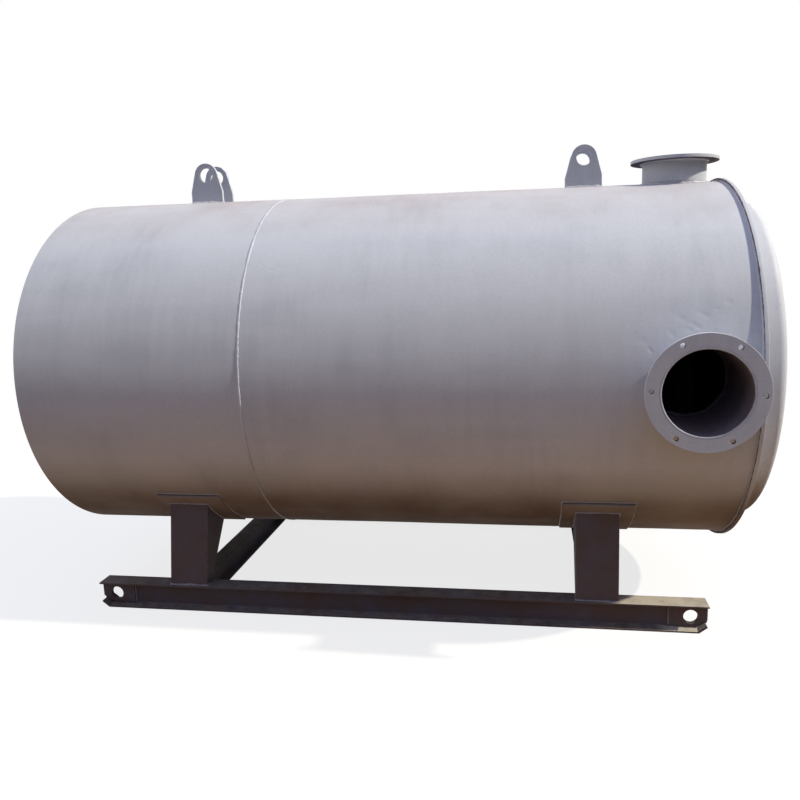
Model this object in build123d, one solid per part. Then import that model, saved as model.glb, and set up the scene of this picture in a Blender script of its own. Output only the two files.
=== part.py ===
from build123d import *
import os
from math import asin, cos, radians, sin, sqrt, tan

# Horizontal tank on a welded skid, in millimetres.
# X runs along the tank, Y away from the side nozzle, Z up.
# Sizes are set out from the floor under the middle of the skid and the tank's upright plane.
# The finished part is then moved so that its origin is on the floor under the middle of its box.

# Shell
shell_radius = 675.5
shell_wall = 8.0
skid_clearance = 128.0
shell_left_length = 831.0
shell_right_length = 1672.5
girth_seam_x = -440.0
weld_gap = 0.3
girth_bead_width = 13.0
girth_bead_rise = 2.5

# Right end ring and its head
ring_thickness = 12.0
ring_proud = 12.0
ring_land = 79.0
right_head_skirt = 58.0
right_head_knuckle = 28.0
right_head_crown = 2300.0
right_head_wall = 8.0

# Left head, pushed inside the shell
left_head_skirt = 30.0
left_head_knuckle = 40.0
left_head_crown = 2700.0
left_head_wall = 8.0
left_head_inset = 42.0

# Side nozzle, level and square to the tank's axis
side_nozzle_from_end = 183.0
side_nozzle_stand = 95.0
side_neck_length = 295.0
side_neck_bore = 265.0
side_neck_wall = 5.0
side_flange_od = 361.0
side_flange_thickness = 12.0
side_flange_pcd = 324.5
side_flange_hole = 16.0
side_flange_holes = 6
side_flange_turn_deg = -2.5

# Top nozzle
top_nozzle_from_end = 145.0
top_nozzle_stand = 90.0
top_neck_length = 125.0
top_neck_bore = 225.0
top_neck_wall = 5.0
top_flange_od = 324.0
top_flange_thickness = 12.0
top_flange_pcd = 288.0
top_flange_hole = 14.0
top_flange_holes = 6
top_flange_turn_deg = 26.6

# Lifting lugs, two plates at each lifting point
left_lug_from_end = 480.5
right_lug_from_end = 488.5
lug_plate_spacing = 101.0
lug_thickness = 14.0
lug_base_width = 135.0
lug_side_height = 42.0
lug_hole_height = 108.0
lug_hole = 58.0
lug_tip_radius = 48.0

# Skid beams
skid_length = 2293.0
skid_spacing = 963.0
beam_height = 100.0
beam_flange_width = 68.0
beam_web = 5.0
beam_flange_tip = 5.6
beam_flange_root = 9.4
beam_root_fillet = 6.0

# Upturned ends of the bottom flange
toe_setback = 4.0
toe_run = 29.0
toe_rise_deg = 38.0
toe_thickness = 7.5

# Doubler plates at the skid ends
doubler_length = 131.0
doubler_thickness = 9.0
doubler_toe_gap = 3.0
tie_hole = 50.0
tie_hole_end = 57.5

# Legs and wear pads
leg_spacing = 1532.0
leg_width = 150.0
leg_wall = 8.0
leg_setback = 12.5
leg_base_depth = 40.0
leg_front_lean_deg = 2.8
leg_back_lean_deg = 29.2
pad_thickness = 8.0
pad_width = 250.0
pad_top_margin = 54.0
pad_back_margin = 40.0

# The left legs were fitted askew: foot and pad stand off their places, and the sides lean along the tank
left_leg_shift = -11.5
left_leg_side_lean_deg = 3.6
left_pad_shift = 25.5

# Every cutting tool runs this far past what it cuts
overrun = 20.0

# Places worked out from the sizes above
axis_height = beam_height + skid_clearance + shell_radius
shell_left_x = girth_seam_x - shell_left_length
shell_right_x = girth_seam_x + shell_right_length
shell_bore = shell_radius - shell_wall
pad_radius = shell_radius + pad_thickness
ring_radius = shell_radius + ring_proud
head_radius = ring_radius - ring_land
beam_y = skid_spacing / 2
skid_end = skid_length / 2
side_neck_radius = side_neck_bore / 2 + side_neck_wall
top_neck_radius = top_neck_bore / 2 + top_neck_wall

right_head_x = shell_right_x + ring_thickness + right_head_skirt
left_head_x = shell_left_x + left_head_inset
left_head_radius = shell_bore - weld_gap
side_reach = shell_radius + side_nozzle_stand
top_reach = shell_radius + top_nozzle_stand
side_nozzle_x = shell_right_x - side_nozzle_from_end
top_nozzle_x = shell_right_x - top_nozzle_from_end


def head_depth(radius, knuckle, crown):
    """How far a dished head's crown stands out past the end of its skirt."""
    return crown - sqrt((crown - knuckle) ** 2 - (radius - knuckle) ** 2)


# Middle of the overall box, which the finished part is centred on
left_end_x = left_head_x - head_depth(left_head_radius, left_head_knuckle, left_head_crown)
right_end_x = right_head_x + head_depth(head_radius, right_head_knuckle, right_head_crown)
middle_x = (left_end_x + right_end_x) / 2
middle_y = (ring_radius - side_reach) / 2

os.makedirs("parts", exist_ok=True)


def save(shape, node):
    """Write one piece, moved to the part's own origin."""
    export_step(shape.translate((-middle_x, -middle_y, 0)), f"parts/{node}.step")


def tank_cylinder(radius, start_x, length):
    """A solid round bar on the tank's axis."""
    bar = Solid.make_cylinder(radius, length, Plane((start_x, 0, axis_height), z_dir=(1, 0, 0)))
    return Part() + bar


def tank_tube(radius, bore, start_x, length):
    """A round tube on the tank's axis."""
    core = tank_cylinder(bore, start_x - overrun, length + 2 * overrun)
    return tank_cylinder(radius, start_x, length) - core


def axial_bar(radius, length, start, direction):
    """A solid round bar from a point along a direction."""
    return Part() + Solid.make_cylinder(radius, length, Plane(start, z_dir=direction))


def mirror_y(shape):
    return shape.mirror(Plane.XZ)


def mirror_x(shape):
    return shape.mirror(Plane.YZ)


def dished_head(radius, skirt, knuckle, crown, wall):
    """Flanged and dished head about the X axis, skirt end at x = -skirt, crown towards +X."""
    knuckle_r = radius - knuckle
    crown_drop = sqrt((crown - knuckle) ** 2 - knuckle_r**2)
    lean = asin(knuckle_r / (crown - knuckle))

    def edge_points(inset):
        small, large = knuckle - inset, crown - inset
        middle = (radians(90) + lean) / 2
        knee = (small * cos(middle), knuckle_r + small * sin(middle))
        tangent = (small * cos(lean), knuckle_r + small * sin(lean))
        brow = (large * cos(lean / 2) - crown_drop, large * sin(lean / 2))
        return knee, tangent, brow, (large - crown_drop, 0)

    knee, tangent, brow, apex = edge_points(0)
    knee_in, tangent_in, brow_in, apex_in = edge_points(wall)
    with BuildPart() as head:
        with BuildSketch():
            with BuildLine():
                Line((-skirt, radius), (0, radius))
                ThreePointArc((0, radius), knee, tangent)
                ThreePointArc(tangent, brow, apex)
                Line(apex, apex_in)
                ThreePointArc(apex_in, brow_in, tangent_in)
                ThreePointArc(tangent_in, knee_in, (0, radius - wall))
                Line((0, radius - wall), (-skirt, radius - wall))
                Line((-skirt, radius - wall), (-skirt, radius))
            make_face()
        revolve(axis=Axis.X)
    return head.part


def nozzle_plane(x, direction):
    """Work plane on the tank's axis whose Z runs out along a nozzle."""
    return Plane((x, 0, axis_height), x_dir=(1, 0, 0), z_dir=direction)


def nozzle_neck(plane, reach, length, bore, wall):
    """Straight neck set through the shell, square at both ends."""
    with BuildPart() as neck:
        with BuildSketch(plane.offset(reach - length)):
            Circle(bore / 2 + wall)
            Circle(bore / 2, mode=Mode.SUBTRACT)
        extrude(amount=length)
    return neck.part


def plate_flange(plane, reach, od, hub, thickness, pcd, hole, count, turn_deg):
    """Flat ring flange slipped over a neck, its face level with the neck's end."""
    with BuildPart() as flange:
        with BuildSketch(plane.offset(reach - thickness)):
            Circle(od / 2)
            Circle(hub + weld_gap, mode=Mode.SUBTRACT)
            with PolarLocations(pcd / 2, count, start_angle=turn_deg):
                Circle(hole / 2, mode=Mode.SUBTRACT)
        extrude(amount=thickness)
    return flange.part


# Shell courses, with the round openings that both necks pass through
side_direction = (0, -1, 0)
top_direction = (0, 0, 1)
side_plane = nozzle_plane(side_nozzle_x, side_direction)
top_plane = nozzle_plane(top_nozzle_x, top_direction)

left_course = tank_tube(shell_radius, shell_bore, shell_left_x, shell_left_length)
right_course = tank_tube(shell_radius, shell_bore, girth_seam_x, shell_right_length)
right_course -= axial_bar(side_neck_radius + weld_gap, side_reach, side_plane.origin, side_direction)
right_course -= axial_bar(top_neck_radius + weld_gap, top_reach, top_plane.origin, top_direction)
save(left_course, "shell_left_course")
save(right_course, "shell_right_course")

# Girth weld, a low rounded bead over the seam
with BuildPart() as girth_bead:
    with BuildSketch():
        with BuildLine():
            foot = shell_radius + weld_gap
            toe = girth_bead_width / 2
            Line((-toe, foot), (toe, foot))
            ThreePointArc((toe, foot), (0, foot + girth_bead_rise), (-toe, foot))
        make_face()
    revolve(axis=Axis.X)
save(girth_bead.part.translate((girth_seam_x, 0, axis_height)), "girth_weld")

# Ends of the tank
left_head = mirror_x(
    dished_head(left_head_radius, left_head_skirt, left_head_knuckle, left_head_crown, left_head_wall)
)
save(left_head.translate((left_head_x, 0, axis_height)), "left_head")

end_ring = tank_tube(ring_radius, head_radius - right_head_wall, shell_right_x, ring_thickness)
save(end_ring, "right_end_ring")

right_head = dished_head(
    head_radius, right_head_skirt, right_head_knuckle, right_head_crown, right_head_wall
)
save(right_head.translate((right_head_x, 0, axis_height)), "right_head")

# Side nozzle
side_neck = nozzle_neck(side_plane, side_reach, side_neck_length, side_neck_bore, side_neck_wall)
save(side_neck, "side_nozzle_neck")
save(
    plate_flange(
        side_plane, side_reach, side_flange_od, side_neck_radius, side_flange_thickness,
        side_flange_pcd, side_flange_hole, side_flange_holes, side_flange_turn_deg,
    ),
    "side_nozzle_flange",
)

# Top nozzle
top_neck = nozzle_neck(top_plane, top_reach, top_neck_length, top_neck_bore, top_neck_wall)
save(top_neck, "top_nozzle_neck")
save(
    plate_flange(
        top_plane, top_reach, top_flange_od, top_neck_radius, top_flange_thickness,
        top_flange_pcd, top_flange_hole, top_flange_holes, top_flange_turn_deg,
    ),
    "top_nozzle_flange",
)


def lug_plate(x, y):
    """Lug plate drawn as the hull of a round tip and a square foot, fitted to the shell."""
    top = axis_height + shell_radius
    face = Plane((x, y + lug_thickness / 2, top), x_dir=(1, 0, 0), z_dir=(0, -1, 0))
    half = lug_base_width / 2
    with BuildPart() as lug:
        with BuildSketch(face):
            with BuildLine():
                CenterArc((0, lug_hole_height), lug_tip_radius, 0, 360)
                Polyline(
                    (-half, -overrun), (half, -overrun),
                    (half, lug_side_height), (-half, lug_side_height), close=True,
                )
            make_hull()
            with Locations((0, lug_hole_height)):
                Circle(lug_hole / 2, mode=Mode.SUBTRACT)
        extrude(amount=lug_thickness)
    seat = tank_cylinder(shell_radius + weld_gap, x - lug_base_width, 2 * lug_base_width)
    return lug.part - seat


lug_places = {"left": shell_left_x + left_lug_from_end, "right": shell_right_x - right_lug_from_end}
for side, lug_x in lug_places.items():
    save(lug_plate(lug_x, -lug_plate_spacing / 2), f"lifting_lug_{side}_front")
    save(lug_plate(lug_x, lug_plate_spacing / 2), f"lifting_lug_{side}_back")


def beam_section(plane):
    """Rolled I section with sloping flanges and root fillets, its foot on the plane's x axis."""
    half = beam_flange_width / 2
    web = beam_web / 2
    with BuildSketch(plane) as section:
        with BuildLine():
            Polyline(
                (0, 0), (half, 0), (half, beam_flange_tip), (web, beam_flange_root),
                (web, beam_height - beam_flange_root), (half, beam_height - beam_flange_tip),
                (half, beam_height), (0, beam_height), close=True,
            )
        make_face()
        mirror(about=Plane.YZ)
        corners = section.vertices().filter_by(lambda v: abs(abs(v.X) - web) < web / 2)
        fillet(corners, beam_root_fillet)
    return section.sketch


toe_fold_x = skid_end - toe_setback - toe_run
toe_slope = tan(radians(toe_rise_deg))


def skid_beam():
    """Front beam: section run along X, both lower ends cut on a slope and closed by an upturned toe."""
    end_view = Plane((-skid_end, -beam_y, 0), x_dir=(0, 1, 0), z_dir=(1, 0, 0))
    beam = extrude(beam_section(end_view), skid_length)
    rest = skid_end + overrun - toe_fold_x
    side_view = Plane((0, -beam_y, 0), x_dir=(1, 0, 0), z_dir=(0, -1, 0))
    with BuildPart() as cutter:
        with BuildSketch(side_view):
            with BuildLine():
                Polyline(
                    (toe_fold_x, 0), (toe_fold_x, -overrun), (toe_fold_x + rest, -overrun),
                    (toe_fold_x + rest, rest * toe_slope), close=True,
                )
            make_face()
        extrude(amount=beam_flange_width, both=True)
    lift = toe_thickness / cos(radians(toe_rise_deg))
    with BuildPart() as toe:
        with BuildSketch(side_view):
            with BuildLine():
                tip_x = toe_fold_x + toe_run
                Polyline(
                    (toe_fold_x, 0), (tip_x, toe_run * toe_slope),
                    (tip_x - toe_thickness * sin(radians(toe_rise_deg)),
                     toe_run * toe_slope + toe_thickness * cos(radians(toe_rise_deg))),
                    (toe_fold_x, lift), close=True,
                )
            make_face()
        extrude(amount=beam_flange_width / 2, both=True)
    hole_start = (skid_end - tie_hole_end, -beam_y - beam_flange_width / 2, beam_height / 2)
    tie = axial_bar(tie_hole / 2, beam_flange_width, hole_start, (0, 1, 0))
    for tool in (cutter.part, tie):
        beam -= tool
        beam -= mirror_x(tool)
    return beam + toe.part + mirror_x(toe.part)


front_beam = skid_beam()
save(front_beam, "skid_beam_front")
save(mirror_y(front_beam), "skid_beam_back")


def doubler_plate():
    """Front right doubler on the outer face of the web, its lower outer corner cut above the toe."""
    low = beam_flange_root + beam_root_fillet
    high = beam_height - low
    toe_top = toe_thickness / cos(radians(toe_rise_deg)) + doubler_toe_gap
    corner = skid_end - toe_fold_x - (low - toe_top) / toe_slope
    face = Plane((skid_end, -beam_y - beam_web / 2, 0), x_dir=(1, 0, 0), z_dir=(0, -1, 0))
    with BuildPart() as plate:
        with BuildSketch(face):
            with BuildLine():
                Polyline(
                    (0, high), (-doubler_length, high), (-doubler_length, low), (-corner, low),
                    (0, low + corner * toe_slope), close=True,
                )
            make_face()
            with Locations((-tie_hole_end, beam_height / 2)):
                Circle(tie_hole / 2, mode=Mode.SUBTRACT)
        extrude(amount=doubler_thickness)
    return plate.part


front_right_doubler = doubler_plate()
front_left_doubler = mirror_x(front_right_doubler)
save(front_right_doubler, "end_doubler_front_right")
save(front_left_doubler, "end_doubler_front_left")
save(mirror_y(front_right_doubler), "end_doubler_back_right")
save(mirror_y(front_left_doubler), "end_doubler_back_left")


def cross_beam(x):
    """Cross member between the skid beams, its flanges coped so that the web reaches the beam web."""
    reach = beam_y - beam_web / 2
    flange_reach = beam_y - beam_flange_width / 2
    cope = beam_flange_root + beam_root_fillet
    bar = extrude(beam_section(Plane((x, reach, 0), x_dir=(1, 0, 0), z_dir=(0, -1, 0))), 2 * reach)
    notch_width = beam_flange_width + overrun
    notch_length = reach - flange_reach + overrun
    notch = Box(notch_width, notch_length, cope + overrun, align=(Align.CENTER, Align.MIN, Align.MAX))
    for level, flip in ((cope, False), (beam_height - cope, True)):
        block = Rotation(0, 180, 0) * notch if flip else notch
        placed = block.translate((x, flange_reach, level))
        bar -= placed
        bar -= mirror_y(placed)
    return bar


leg_front_y = -(beam_y + beam_flange_width / 2 - leg_setback)
leg_back_y = leg_front_y + leg_base_depth


def leg_profile(inset):
    """Side outline of the front leg: both faces lean inwards as they run up into the shell."""
    front_lean, back_lean = radians(leg_front_lean_deg), radians(leg_back_lean_deg)
    front = leg_front_y + inset / cos(front_lean)
    back = leg_back_y - inset / cos(back_lean)
    rise = axis_height - beam_height
    front_top, back_top = front + rise * tan(front_lean), back + rise * tan(back_lean)
    return [(front, beam_height), (back, beam_height), (back_top, axis_height), (front_top, axis_height)]


def leg_sides(x, side_lean_deg, inset):
    """Front outline of a leg: its two sides, leaning together along the tank."""
    side_lean = radians(side_lean_deg)
    half = leg_width / 2 - inset / cos(side_lean)
    shift = (axis_height - beam_height) * tan(side_lean)
    foot = [(x - half, beam_height), (x + half, beam_height)]
    return foot + [(x + half + shift, axis_height), (x - half + shift, axis_height)]


def leg_block(x, side_lean_deg, inset):
    """What lies inside both the side outline and the front outline."""
    with BuildPart() as block:
        with BuildSketch(Plane((x, 0, 0), x_dir=(0, 1, 0), z_dir=(1, 0, 0))):
            with BuildLine():
                Polyline(*leg_profile(inset), close=True)
            make_face()
        extrude(amount=leg_width, both=True)
        with BuildSketch(Plane.XZ):
            with BuildLine():
                Polyline(*leg_sides(x, side_lean_deg, inset), close=True)
            make_face()
        extrude(amount=beam_y + beam_flange_width, both=True, mode=Mode.INTERSECT)
    return block.part


def leg(x, side_lean_deg):
    """Tapered box leg, open at foot and head, its head cut to the wear pad's round."""
    seat = tank_cylinder(pad_radius + weld_gap, x - leg_width, 2 * leg_width)
    return leg_block(x, side_lean_deg, 0) - leg_block(x, side_lean_deg, leg_wall) - seat


def pad_meeting(foot_y, lean_deg):
    """Angle from straight down, towards the front, at which a leg's face meets the pad."""
    lean = radians(lean_deg)
    offset = foot_y * cos(lean) + (axis_height - beam_height) * sin(lean)
    return lean - asin(offset / pad_radius)


def wear_pad(x):
    """Curved plate hugging the underside of the shell at one leg."""
    low = pad_meeting(leg_back_y, leg_back_lean_deg) - pad_back_margin / pad_radius
    high = pad_meeting(leg_front_y, leg_front_lean_deg) + pad_top_margin / pad_radius
    inner, outer = shell_radius + weld_gap, pad_radius
    middle = (low + high) / 2

    def at(radius, angle):
        return (-radius * sin(angle), axis_height - radius * cos(angle))

    with BuildPart() as pad:
        with BuildSketch(Plane((x, 0, 0), x_dir=(0, 1, 0), z_dir=(1, 0, 0))):
            with BuildLine():
                ThreePointArc(at(inner, low), at(inner, middle), at(inner, high))
                Line(at(inner, high), at(outer, high))
                ThreePointArc(at(outer, high), at(outer, middle), at(outer, low))
                Line(at(outer, low), at(inner, low))
            make_face()
        extrude(amount=pad_width / 2, both=True)
    return pad.part


leg_places = {
    "left": (-leg_spacing / 2, left_leg_shift, left_leg_side_lean_deg, left_pad_shift),
    "right": (leg_spacing / 2, 0, 0, 0),
}
for side, (leg_x, leg_shift, side_lean_deg, pad_shift) in leg_places.items():
    front_leg, front_pad = leg(leg_x + leg_shift, side_lean_deg), wear_pad(leg_x + pad_shift)
    save(front_leg, f"leg_{side}_front")
    save(mirror_y(front_leg), f"leg_{side}_back")
    save(front_pad, f"wear_pad_{side}_front")
    save(mirror_y(front_pad), f"wear_pad_{side}_back")
    save(cross_beam(leg_x), f"cross_beam_{side}")
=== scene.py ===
"""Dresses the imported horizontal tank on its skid: rolled shell, welds, paint and stage."""

from functools import partial
from itertools import product
from math import asin, cos, pi, radians, sin, sqrt, tau

import bmesh
import bpy
from bpy.props import FloatProperty, FloatVectorProperty, IntProperty, PointerProperty
from mathutils import Color, Matrix, Vector


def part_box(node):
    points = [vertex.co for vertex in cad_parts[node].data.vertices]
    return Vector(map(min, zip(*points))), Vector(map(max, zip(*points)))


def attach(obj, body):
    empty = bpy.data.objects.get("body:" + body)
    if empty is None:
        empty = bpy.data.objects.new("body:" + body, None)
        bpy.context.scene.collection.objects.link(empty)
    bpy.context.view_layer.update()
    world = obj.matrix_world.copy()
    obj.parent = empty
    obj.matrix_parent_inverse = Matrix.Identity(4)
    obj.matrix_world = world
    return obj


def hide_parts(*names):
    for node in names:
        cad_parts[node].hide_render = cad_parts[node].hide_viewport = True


bl_info = {
    "name": "Horizontal tank on a skid",
    "version": (1, 0, 0),
    "blender": (4, 5, 0),
    "location": "View3D > Sidebar > Tank",
    "description": "Builds the shell, welds, paint and stage around the packed tank",
    "category": "Object",
}

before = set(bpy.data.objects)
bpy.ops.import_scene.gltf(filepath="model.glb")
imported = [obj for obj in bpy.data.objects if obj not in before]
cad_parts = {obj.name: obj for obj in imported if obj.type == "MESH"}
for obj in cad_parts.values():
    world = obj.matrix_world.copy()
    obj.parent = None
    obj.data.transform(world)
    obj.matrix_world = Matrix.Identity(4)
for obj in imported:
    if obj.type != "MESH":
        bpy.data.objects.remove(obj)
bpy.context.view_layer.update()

MM = 0.001
BODY = "root"
SILVER, DARK = "silver_paint", "dark_paint"
SIDES, FACES = ("left", "right"), ("front", "back")

# Finishes that several pieces share
ALUMINIUM, CHARCOAL = "sprayed_aluminium_paint", "brushed_charcoal_paint"
BARE, UNDERCOAT = "mill_scaled_steel", "thin_grey_undercoat"

# Node kinds that the trees use most. A noise's row is its place, scale, detail and roughness, with its seed
# before the scale in 4D, and a range's row is its value and the limits it goes from and to
NOISE, RANGE, MATH = "ShaderNodeTexNoise", "ShaderNodeMapRange", "ShaderNodeMath"
MAPPING, VECTOR_MATH, AXES = "ShaderNodeMapping", "ShaderNodeVectorMath", "ShaderNodeSeparateXYZ"

# Main places of the tank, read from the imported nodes
left_low, left_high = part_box("shell_left_course")
right_low, right_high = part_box("shell_right_course")
neck_low, neck_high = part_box("side_nozzle_neck")
AXIS_Y = (left_low.y + left_high.y) / 2
AXIS_Z = (left_low.z + left_high.z) / 2
SHELL_RADIUS = (left_high.z - left_low.z) / 2
SHELL_TOP = AXIS_Z + SHELL_RADIUS
SEAM_X = left_high.x
NOZZLE_X = (neck_low.x + neck_high.x) / 2

# Upper faces of the rolled skid beams
BEAM_TOP = 100 * MM

WHITE = (1.0, 1.0, 1.0, 1.0)

# Points closer than this are one, and edges sharper or flatter than these angles are rounded or dissolved
MERGE_GAP = 0.01 * MM
ROUNDED_ANGLE, FLAT_ANGLE = radians(28), radians(0.2)


def hex_colour(code):
    """Linear red, green and blue of an sRGB hex value."""
    parts = [int(code[i : i + 2], 16) / 255 for i in (1, 3, 5)]
    return tuple(c / 12.92 if c <= 0.04045 else ((c + 0.055) / 1.055) ** 2.4 for c in parts)


def mm_property(name, description, default):
    return FloatProperty(name=name, description=description, default=default * MM, unit="LENGTH", precision=5)


def angle_property(name, description, default):
    return FloatProperty(name=name, description=description, default=default, unit="ROTATION")


def vector_property(name, description, subtype, default):
    return FloatVectorProperty(
        name=name, description=description, default=default, subtype=subtype, size=len(default)
    )


def colour_property(name, description, code):
    return FloatVectorProperty(
        name=name, description=description, default=hex_colour(code), subtype="COLOR", size=3, min=0, max=1
    )


class TankShellSizes(bpy.types.PropertyGroup):
    wall: mm_property("Wall", "Plate thickness of the shell", 8.0)
    wave_height: mm_property("Wave height", "How far rolled plate strays from a true round", 0.9)
    wave_length: mm_property("Wave length", "Length of the waves in the rolled plate", 420.0)
    around: IntProperty(name="Around", description="Facets around the shell", default=288, min=24)
    cell: mm_property("Cell", "Length of a facet along the shell", 14.0)
    dent_depth: mm_property("Dent depth", "Depth of the deepest small dent", 0.7)


class TankWeldSizes(bpy.types.PropertyGroup):
    girth_width: mm_property("Girth width", "Width of the bead over the girth seam", 8.5)
    girth_rise: mm_property("Girth rise", "Height of the bead over the girth seam", 2.0)
    ring_width: mm_property("Ring width", "Width of the fillets beside the end ring", 9.0)
    fillet_width: mm_property("Fillet width", "Width of the fillets on nozzles and lugs", 10.0)
    fine_width: mm_property("Fine width", "Width of the thin fillets on pads, legs and skid", 7.0)
    step: mm_property("Step", "Distance between the sections of a bead", 4.0)
    ripple: mm_property("Ripple", "Distance between the ripples of a bead", 9.0)
    uneven: FloatProperty(name="Uneven", description="How much a hand-laid bead varies in size", default=0.42)


class TankEdgeSizes(bpy.types.PropertyGroup):
    plate: mm_property("Plate edge", "Rounding of cut and ground plate edges", 1.6)
    rolled: mm_property("Rolled edge", "Rounding of the rolled beams' edges", 2.0)
    leg: mm_property("Leg edge", "Rounding of the legs' welded corners", 2.6)
    pipe: mm_property("Pipe edge", "Rounding of the necks' cut ends and of the heads", 1.2)


class TankColours(bpy.types.PropertyGroup):
    silver: colour_property("Silver", "Aluminium paint on the tank", "#C6C9D1")
    # Silver patch also carries the painted sheen that darkens the shell towards its left end
    silver_patch: colour_property("Silver patch", "Thinner coats of the aluminium paint", "#AEB2BB")
    charcoal: colour_property("Charcoal", "Dark paint on legs and skid", "#575158")
    charcoal_patch: colour_property("Charcoal patch", "Browner coats of the dark paint", "#584B48")
    dust: colour_property("Dust", "Pale dust and dried mud", "#A79B86")
    # Also painted light: the pale upper faces at the beams' right ends stand for the key's light falling there
    bleach: colour_property("Bleach", "Rain-bleached upper faces at the right ends of the beams", "#B4AB9C")
    grime: colour_property("Grime", "Grit specks and rubbed edges", "#8B7B6B")
    # Belly is also painted shade: it darkens and browns the shell's lower part besides standing for soil
    belly: colour_property("Belly", "Brown soil thrown up under the shell", "#5A4636")
    cut_edge: colour_property("Cut edge", "Flame-cut rim of the end ring", "#5C5260")
    # Undercoat's darkness is also painted shade in the necks and under the top flange
    undercoat: colour_property("Undercoat", "Undercoat in the necks and under the top flange", "#6A626C")
    rust: colour_property("Rust", "Rust bleeding through at welds", "#8C5B38")
    bead_grey: colour_property("Bead grey", "Thinly painted welds on the dark steel", "#98939A")
    # Mill scale's darkness also serves as painted shade inside the tank
    scale: colour_property("Mill scale", "Bare plate inside the tank", "#2A2427")


class TankStageSizes(bpy.types.PropertyGroup):
    eye: vector_property(
        "Eye", "Camera place, from the floor under the skid's middle", "TRANSLATION", (0.52625, -2.836, 1.309)
    )
    yaw: angle_property("Yaw", "Camera turned to the left", 0.1416)
    pitch: angle_property("Pitch", "Camera tipped up", -0.1613)
    roll: angle_property("Roll", "Camera rolled", -0.0283)
    lens: FloatProperty(name="Lens", description="Focal length in mm on a 36 mm frame", default=30.852)
    shift: vector_property("Shift", "Lens shift", "NONE", (-0.0394, -0.0335))
    key: FloatProperty(name="Key", description="Strength of the far lamp at the right", default=4.6)
    key_spread: angle_property("Key spread", "How wide the key looks, which softens its shadows", radians(1.6))
    key_from: vector_property("Key from", "Way towards the key lamp", "DIRECTION", (0.76, -0.021, 0.65))
    fill: FloatProperty(name="Fill", description="Strength of the soft lamp at the left", default=0.9)
    fill_spread: angle_property("Fill spread", "How wide the fill lamp looks", radians(50))
    fill_from: vector_property("Fill from", "Way towards the fill lamp", "DIRECTION", (-0.985, 0.0, 0.17))
    dome: FloatProperty(name="Dome", description="Strength of the dome's light straight overhead", default=1.05)
    sky: colour_property("Sky", "Colour of the dome's light", "#CBD6FF")
    sun: colour_property("Sun", "Colour of both lamps", "#FFF8E2")
    ground: colour_property("Ground", "Colour that the floor near the tank throws back up", "#A07C50")
    far_ground: colour_property("Far ground", "Colour that the floor farther off throws back up", "#483D2E")


GROUPS = {
    "tank_shell": TankShellSizes,
    "tank_welds": TankWeldSizes,
    "tank_edges": TankEdgeSizes,
    "tank_colours": TankColours,
    "tank_stage": TankStageSizes,
}


def sizes(group):
    return getattr(bpy.context.scene, group)


def add_node(tree, kind, inputs=(), **settings):
    """Add one node. Inputs go by the socket's name or place, or in a plain row by the order of the sockets
    in use. Each is a value, a socket, or a node that gives its first output in use."""
    made = tree.nodes.new(kind)
    for key, value in settings.items():
        setattr(made, key, value)
    if not isinstance(inputs, dict):
        inputs = dict(zip([i for i, socket in enumerate(made.inputs) if socket.enabled], inputs))
    for key, value in inputs.items():
        if isinstance(value, bpy.types.Node):
            value = next(socket for socket in value.outputs if socket.enabled)
        if isinstance(value, bpy.types.NodeSocket):
            tree.links.new(value, made.inputs[key])
        else:
            made.inputs[key].default_value = (*value, 1.0) if isinstance(value, Color) else value
    return made


# Materials


def new_material(name):
    """An empty material, the call that adds its nodes, and the point on the object."""
    material = bpy.data.materials.new(name)
    material.use_nodes = True
    material.node_tree.nodes.clear()
    add = partial(add_node, material.node_tree)
    return material, add, add("ShaderNodeTexCoord").outputs["Object"]


def coats(add, group, base, *layers):
    """Colour of a base coat under layers, each with its share, the colours being the group's."""
    colour = getattr(group, base)
    for share, name in layers:
        colour = add("ShaderNodeMix", (share, colour, getattr(group, name)), data_type="RGBA")
    return colour


def close_finish(add, colour, roughness, specular, relief, strength, depth):
    """Bring a finish's colour and gloss together with its relief, whose depth is in millimetres."""
    bump = add("ShaderNodeBump", {"Height": relief, "Strength": strength, "Distance": depth * MM})
    shader = add(
        "ShaderNodeBsdfPrincipled",
        {"Base Color": colour, "Roughness": roughness, "Specular IOR Level": specular, "Normal": bump},
    )
    add("ShaderNodeOutputMaterial", {"Surface": shader})


def per_metre(millimetres):
    """Texture scale whose pattern repeats about every so many millimetres."""
    return 1000.0 / millimetres


def level_at(share):
    """Height above the floor, by the share of the shell's radius above its axis."""
    return AXIS_Z + share * SHELL_RADIUS


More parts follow.
